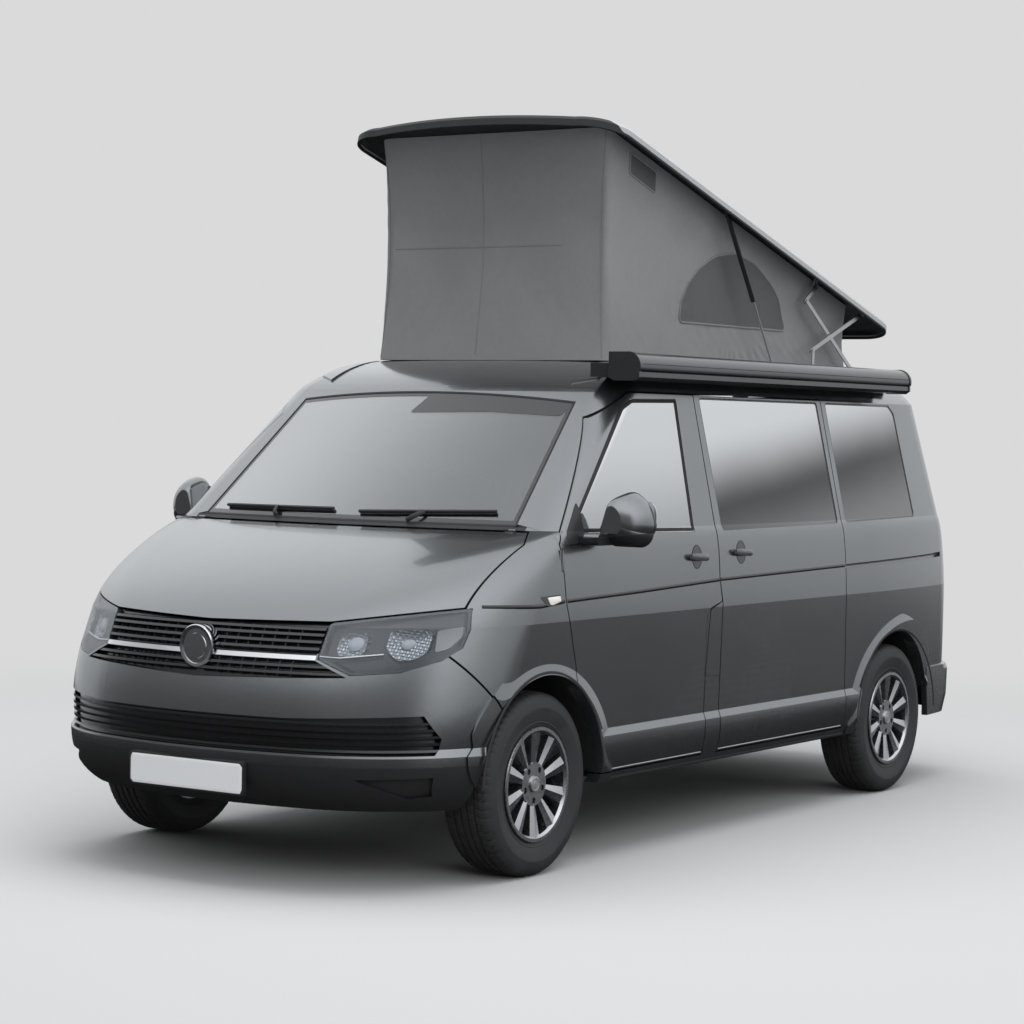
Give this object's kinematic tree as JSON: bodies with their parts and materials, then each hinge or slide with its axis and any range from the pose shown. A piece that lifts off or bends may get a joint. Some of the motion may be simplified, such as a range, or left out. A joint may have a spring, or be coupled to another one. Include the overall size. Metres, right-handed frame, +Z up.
{
  "type": "camper van with lifting roof",
  "caption": "Compact camper van with a front-lifting fabric-sided roof, side awning, hinged doors, tailgate and bonnet, steered front wheels.",
  "frame": {"origin": "on the ground, at the middle of the overall length and width", "axes": "+X forward, +Y to the vehicle's left, +Z up"},
  "size_m": [4.9039, 2.297, 2.9117],
  "materials": {
    "paint": "satin metallic graphite",
    "plastic": "grained black plastic",
    "gloss_black": "gloss black",
    "chrome": "polished",
    "lamp": "clear lens",
    "red_lens": "red lens",
    "glass": "tinted safety glass",
    "anodised": "anthracite coated aluminium",
    "alloy": "silver lacquered alloy",
    "bar_steel": "zinc plated",
    "black_steel": "black",
    "chassis": "black chassis paint",
    "iron": "cast",
    "tyre": "rubber",
    "canvas": "coated grey tent cloth",
    "upholstery": "dark woven cloth",
    "furniture": "grey laminated board"
  },
  "bodies": {
    "body": {"side_left": "paint", "side_right": "paint", "roof_panel": "paint", "cowl": "plastic", "front_wings": "paint", "front_bumper": "paint", "front_valance": "plastic", "upper_grille": "gloss_black", "grille_trim": "chrome", "lower_grille": "plastic", "headlamps": "lamp", "windscreen": "glass", "side_windows": "glass", "sliding_door": "paint", "rear_bumper": "paint", "tail_lamps": "red_lens", "canvas": "canvas", "awning_cassette": "anodised", "awning_rail": "plastic", "floor_pan": "chassis", "wheel_tubs": "plastic", "bulkhead": "chassis", "dashboard": "plastic", "steering_wheel": "plastic", "front_seats": "upholstery", "rear_bench": "upholstery", "kitchen_units": "furniture", "engine_block": "iron", "front_axle": "chassis", "linkage_feet": "bar_steel", "rear_axle": "chassis"},
    "roof": {"roof_shell": "paint"},
    "strut_tube": {"strut_tubes": "black_steel"},
    "strut_rod": {"strut_rods": "bar_steel"},
    "long_bar": {"long_bars": "bar_steel"},
    "cross_bar": {"cross_bars": "bar_steel"},
    "upper_link": {"upper_links": "bar_steel"},
    "lower_link": {"lower_links": "bar_steel"},
    "door_left": {"door_left": "paint", "door_glass_left": "glass", "mirror_left": "plastic"},
    "door_right": {"door_right": "paint", "door_glass_right": "glass", "mirror_right": "plastic"},
    "tailgate": {"tailgate": "paint", "tailgate_glass": "glass"},
    "bonnet": {"bonnet": "paint"},
    "steer_left": {"knuckle_left": "iron"},
    "steer_right": {"knuckle_right": "iron"},
    "wheel_fl": {"tyre_fl": "tyre", "rim_fl": "alloy"},
    "wheel_fr": {"tyre_fr": "tyre", "rim_fr": "alloy"},
    "wheel_rl": {"tyre_rl": "tyre", "rim_rl": "alloy"},
    "wheel_rr": {"tyre_rr": "tyre", "rim_rr": "alloy"}
  },
  "joints": [
    {"name": "roof_lift", "type": "hinge", "parent": "body", "child": "roof", "pos_m": [-2.6, 0, 1.9], "axis": [0, 1, 0], "range_deg": [0, 15.5], "deforming": ["canvas"]},
    {"name": "strut_tube_turn", "type": "hinge", "parent": "roof", "child": "strut_tube", "pos_m": [-0.3287, 0, 2.585], "axis": [0, 1, 0], "range_deg": [0, 38.66]},
    {"name": "strut_rod_slide", "type": "slide", "parent": "strut_tube", "child": "strut_rod", "axis": [-0.5746, 0, -0.8184], "range_m": [-0.23262, 0]},
    {"name": "long_bar_turn", "type": "hinge", "parent": "body", "child": "long_bar", "pos_m": [-1.6089, 0, 1.9422], "axis": [0, 1, 0], "range_deg": [0, 31.7]},
    {"name": "upper_link_turn", "type": "hinge", "parent": "roof", "child": "upper_link", "pos_m": [-1.2481, 0, 2.3238], "axis": [0, 1, 0], "range_deg": [-49.79, 0]},
    {"name": "cross_bar_turn", "type": "hinge", "parent": "roof", "child": "cross_bar", "pos_m": [-1.6582, 0, 2.2081], "axis": [0, 1, 0], "range_deg": [-35.41, 0]},
    {"name": "lower_link_turn", "type": "hinge", "parent": "body", "child": "lower_link", "pos_m": [-1.1521, 0, 1.9422], "axis": [0, 1, 0], "range_deg": [0, 91.42]},
    {"name": "door_left_hinge", "type": "hinge", "parent": "body", "child": "door_left", "pos_m": [1.452, 0.941, 1.16], "axis": [0, 0, -1], "range_deg": [0, 65]},
    {"name": "door_right_hinge", "type": "hinge", "parent": "body", "child": "door_right", "pos_m": [1.452, -0.941, 1.16], "axis": [0, 0, 1], "range_deg": [0, 65]},
    {"name": "tailgate_hinge", "type": "hinge", "parent": "body", "child": "tailgate", "pos_m": [-2.16, 0, 1.828], "axis": [0, 1, 0], "range_deg": [0, 88]},
    {"name": "bonnet_hinge", "type": "hinge", "parent": "body", "child": "bonnet", "pos_m": [1.49, 0, 1.264], "axis": [0, -1, 0], "range_deg": [0, 55]},
    {"name": "steer_left", "type": "hinge", "parent": "body", "child": "steer_left", "pos_m": [1.546, 0.745, 0.34], "axis": [0, 0, 1], "range_deg": [-35, 35]},
    {"name": "steer_right", "type": "hinge", "parent": "body", "child": "steer_right", "pos_m": [1.546, -0.745, 0.34], "axis": [0, 0, 1], "range_deg": [-35, 35]},
    {"name": "wheel_fl_spin", "type": "hinge", "parent": "steer_left", "child": "wheel_fl", "pos_m": [1.546, 0.814, 0.34], "axis": [0, 1, 0], "continuous": true},
    {"name": "wheel_fr_spin", "type": "hinge", "parent": "steer_right", "child": "wheel_fr", "pos_m": [1.546, -0.814, 0.34], "axis": [0, 1, 0], "continuous": true},
    {"name": "wheel_rl_spin", "type": "hinge", "parent": "body", "child": "wheel_rl", "pos_m": [-1.454, 0.814, 0.34], "axis": [0, 1, 0], "continuous": true},
    {"name": "wheel_rr_spin", "type": "hinge", "parent": "body", "child": "wheel_rr", "pos_m": [-1.454, -0.814, 0.34], "axis": [0, 1, 0], "continuous": true}
  ],
  "couplings": [
    {"joint": "strut_tube_turn", "follows": "roof_lift", "ratio": 2.4893},
    {"joint": "strut_rod_slide", "follows": "roof_lift", "m_per_rad": -0.85816},
    {"joint": "long_bar_turn", "follows": "roof_lift", "ratio": 2.0408},
    {"joint": "upper_link_turn", "follows": "roof_lift", "ratio": -3.2062},
    {"joint": "cross_bar_turn", "follows": "roof_lift", "ratio": -2.2798},
    {"joint": "lower_link_turn", "follows": "roof_lift", "ratio": 5.8862},
    {"joint": "steer_right", "follows": "steer_left", "ratio": 1}
  ]
}
